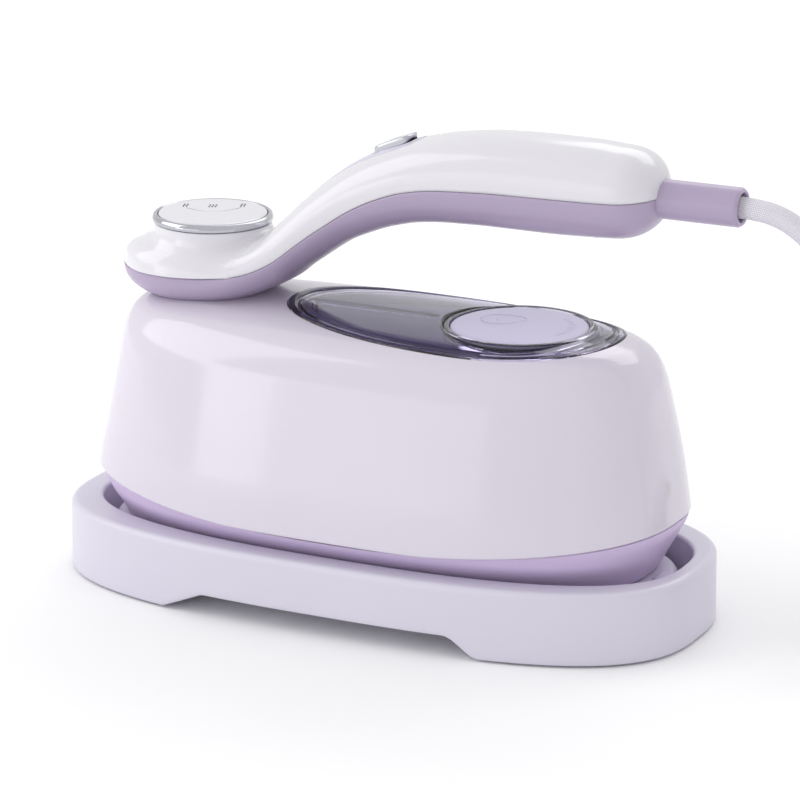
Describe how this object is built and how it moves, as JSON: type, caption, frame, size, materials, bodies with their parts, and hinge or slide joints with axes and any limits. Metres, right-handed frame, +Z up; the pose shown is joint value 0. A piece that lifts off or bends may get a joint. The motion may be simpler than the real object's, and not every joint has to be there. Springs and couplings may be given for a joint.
{
  "type": "steam generator iron",
  "caption": "Compact steam iron with a tinted water tank, arched grip, control dial and steam button, standing in its rest tray with its lead coiled beside it.",
  "frame": {"origin": "centre of the rest tray's underside, on the surface it stands on", "axes": "+X from the nose to the heel and the lead, +Z up, so the user's right hand side of the nose-forward iron is +Y"},
  "size_m": [0.414, 0.1854, 0.1862],
  "materials": {
    "white_shell": "glossy moulded white with a lavender cast",
    "body_white": "glossy moulded white with a lavender cast",
    "tray_lavender": "satin moulded pale lavender",
    "pad_lavender": "matt heat-proof moulding",
    "mauve": "satin moulded mauve",
    "skirt_mauve": "satin heat-proof mauve",
    "cap_lavender": "fine satin lavender",
    "inlay_lavender": "satin pale lavender",
    "chrome": "bright plated",
    "cast_aluminium": "as cast",
    "steel": "polished",
    "brass": "bare",
    "silicone": "matt translucent white",
    "dark_plastic": "moulded dark grey",
    "board_green": "lacquered circuit board",
    "braid": "woven white sleeve",
    "plug_white": "moulded white",
    "tank_tint": "clear grey tint",
    "tank_frost": "grey lavender",
    "clear": "clear"
  },
  "bodies": {
    "rest_base": {"rest_tray": "tray_lavender", "tray_foot_nose_near": "silicone", "tray_foot_nose_far": "silicone", "tray_foot_heel_near": "silicone", "tray_foot_heel_far": "silicone", "rest_platform": "pad_lavender", "cord_hanging": "braid", "cord_coil": "braid", "cord_tail": "braid", "plug_body": "plug_white", "plug_blade_live": "brass", "plug_blade_neutral": "brass"},
    "iron": {"soleplate": "steel", "steam_chamber": "cast_aluminium", "heating_element": "steel", "chamber_gasket": "silicone", "chamber_cover": "steel", "water_inlet": "brass", "thermostat": "dark_plastic", "thermal_fuse": "clear", "heat_skirt": "skirt_mauve", "body_shell": "body_white", "tank_window": "tank_tint", "tank_tub": "tank_frost", "filler_collar": "clear", "filler_neck": "clear", "pump_body": "dark_plastic", "pump_hose": "silicone", "tank_hose": "silicone", "handle_upper": "white_shell", "handle_lower": "mauve", "button_inlay": "inlay_lavender", "grip_screw_1": "steel", "grip_screw_2": "steel", "button_spring": "steel", "steam_switch": "dark_plastic", "dial_panel": "white_shell", "control_board": "board_green", "cord_clamp": "dark_plastic"},
    "filler_plug": {"filler_plug": "cap_lavender", "filler_seal": "silicone"},
    "filler_cap": {"filler_cap": "cap_lavender"},
    "selector_ring": {"selector_ring": "chrome"},
    "steam_button": {"steam_button": "chrome"},
    "cord_swivel": {"cord_sleeve": "mauve"},
    "pump_plunger": {"pump_plunger": "steel"}
  },
  "joints": [
    {"name": "iron_lift", "type": "slide", "parent": "rest_base", "child": "iron", "axis": [0, 0, 1], "range_m": [0, 0.045]},
    {"name": "filler_lift", "type": "slide", "parent": "iron", "child": "filler_plug", "axis": [0, 0, 1], "range_m": [0, 0.016]},
    {"name": "filler_turn", "type": "hinge", "parent": "filler_plug", "child": "filler_cap", "pos_m": [0.055, 0, 0.1117], "axis": [0, 0, 1], "range_deg": [0, 45]},
    {"name": "selector_turn", "type": "hinge", "parent": "iron", "child": "selector_ring", "pos_m": [-0.0752, 0, 0.14], "axis": [0, 0, 1], "range_deg": [-60, 60]},
    {"name": "steam_press", "type": "slide", "parent": "iron", "child": "steam_button", "axis": [0.494, 0, -0.8695], "range_m": [0, 0.0016], "stiffness_N_per_m": 600, "springref_m": -0.001, "deforming": ["button_spring"]},
    {"name": "cord_turn", "type": "hinge", "parent": "iron", "child": "cord_swivel", "pos_m": [0.12, 0, 0.1671], "axis": [1, 0, 0], "continuous": true},
    {"name": "pump_stroke", "type": "slide", "parent": "iron", "child": "pump_plunger", "axis": [1, 0, 0], "range_m": [0, 0.002], "stiffness_N_per_m": 600, "springref_m": -0.001}
  ]
}
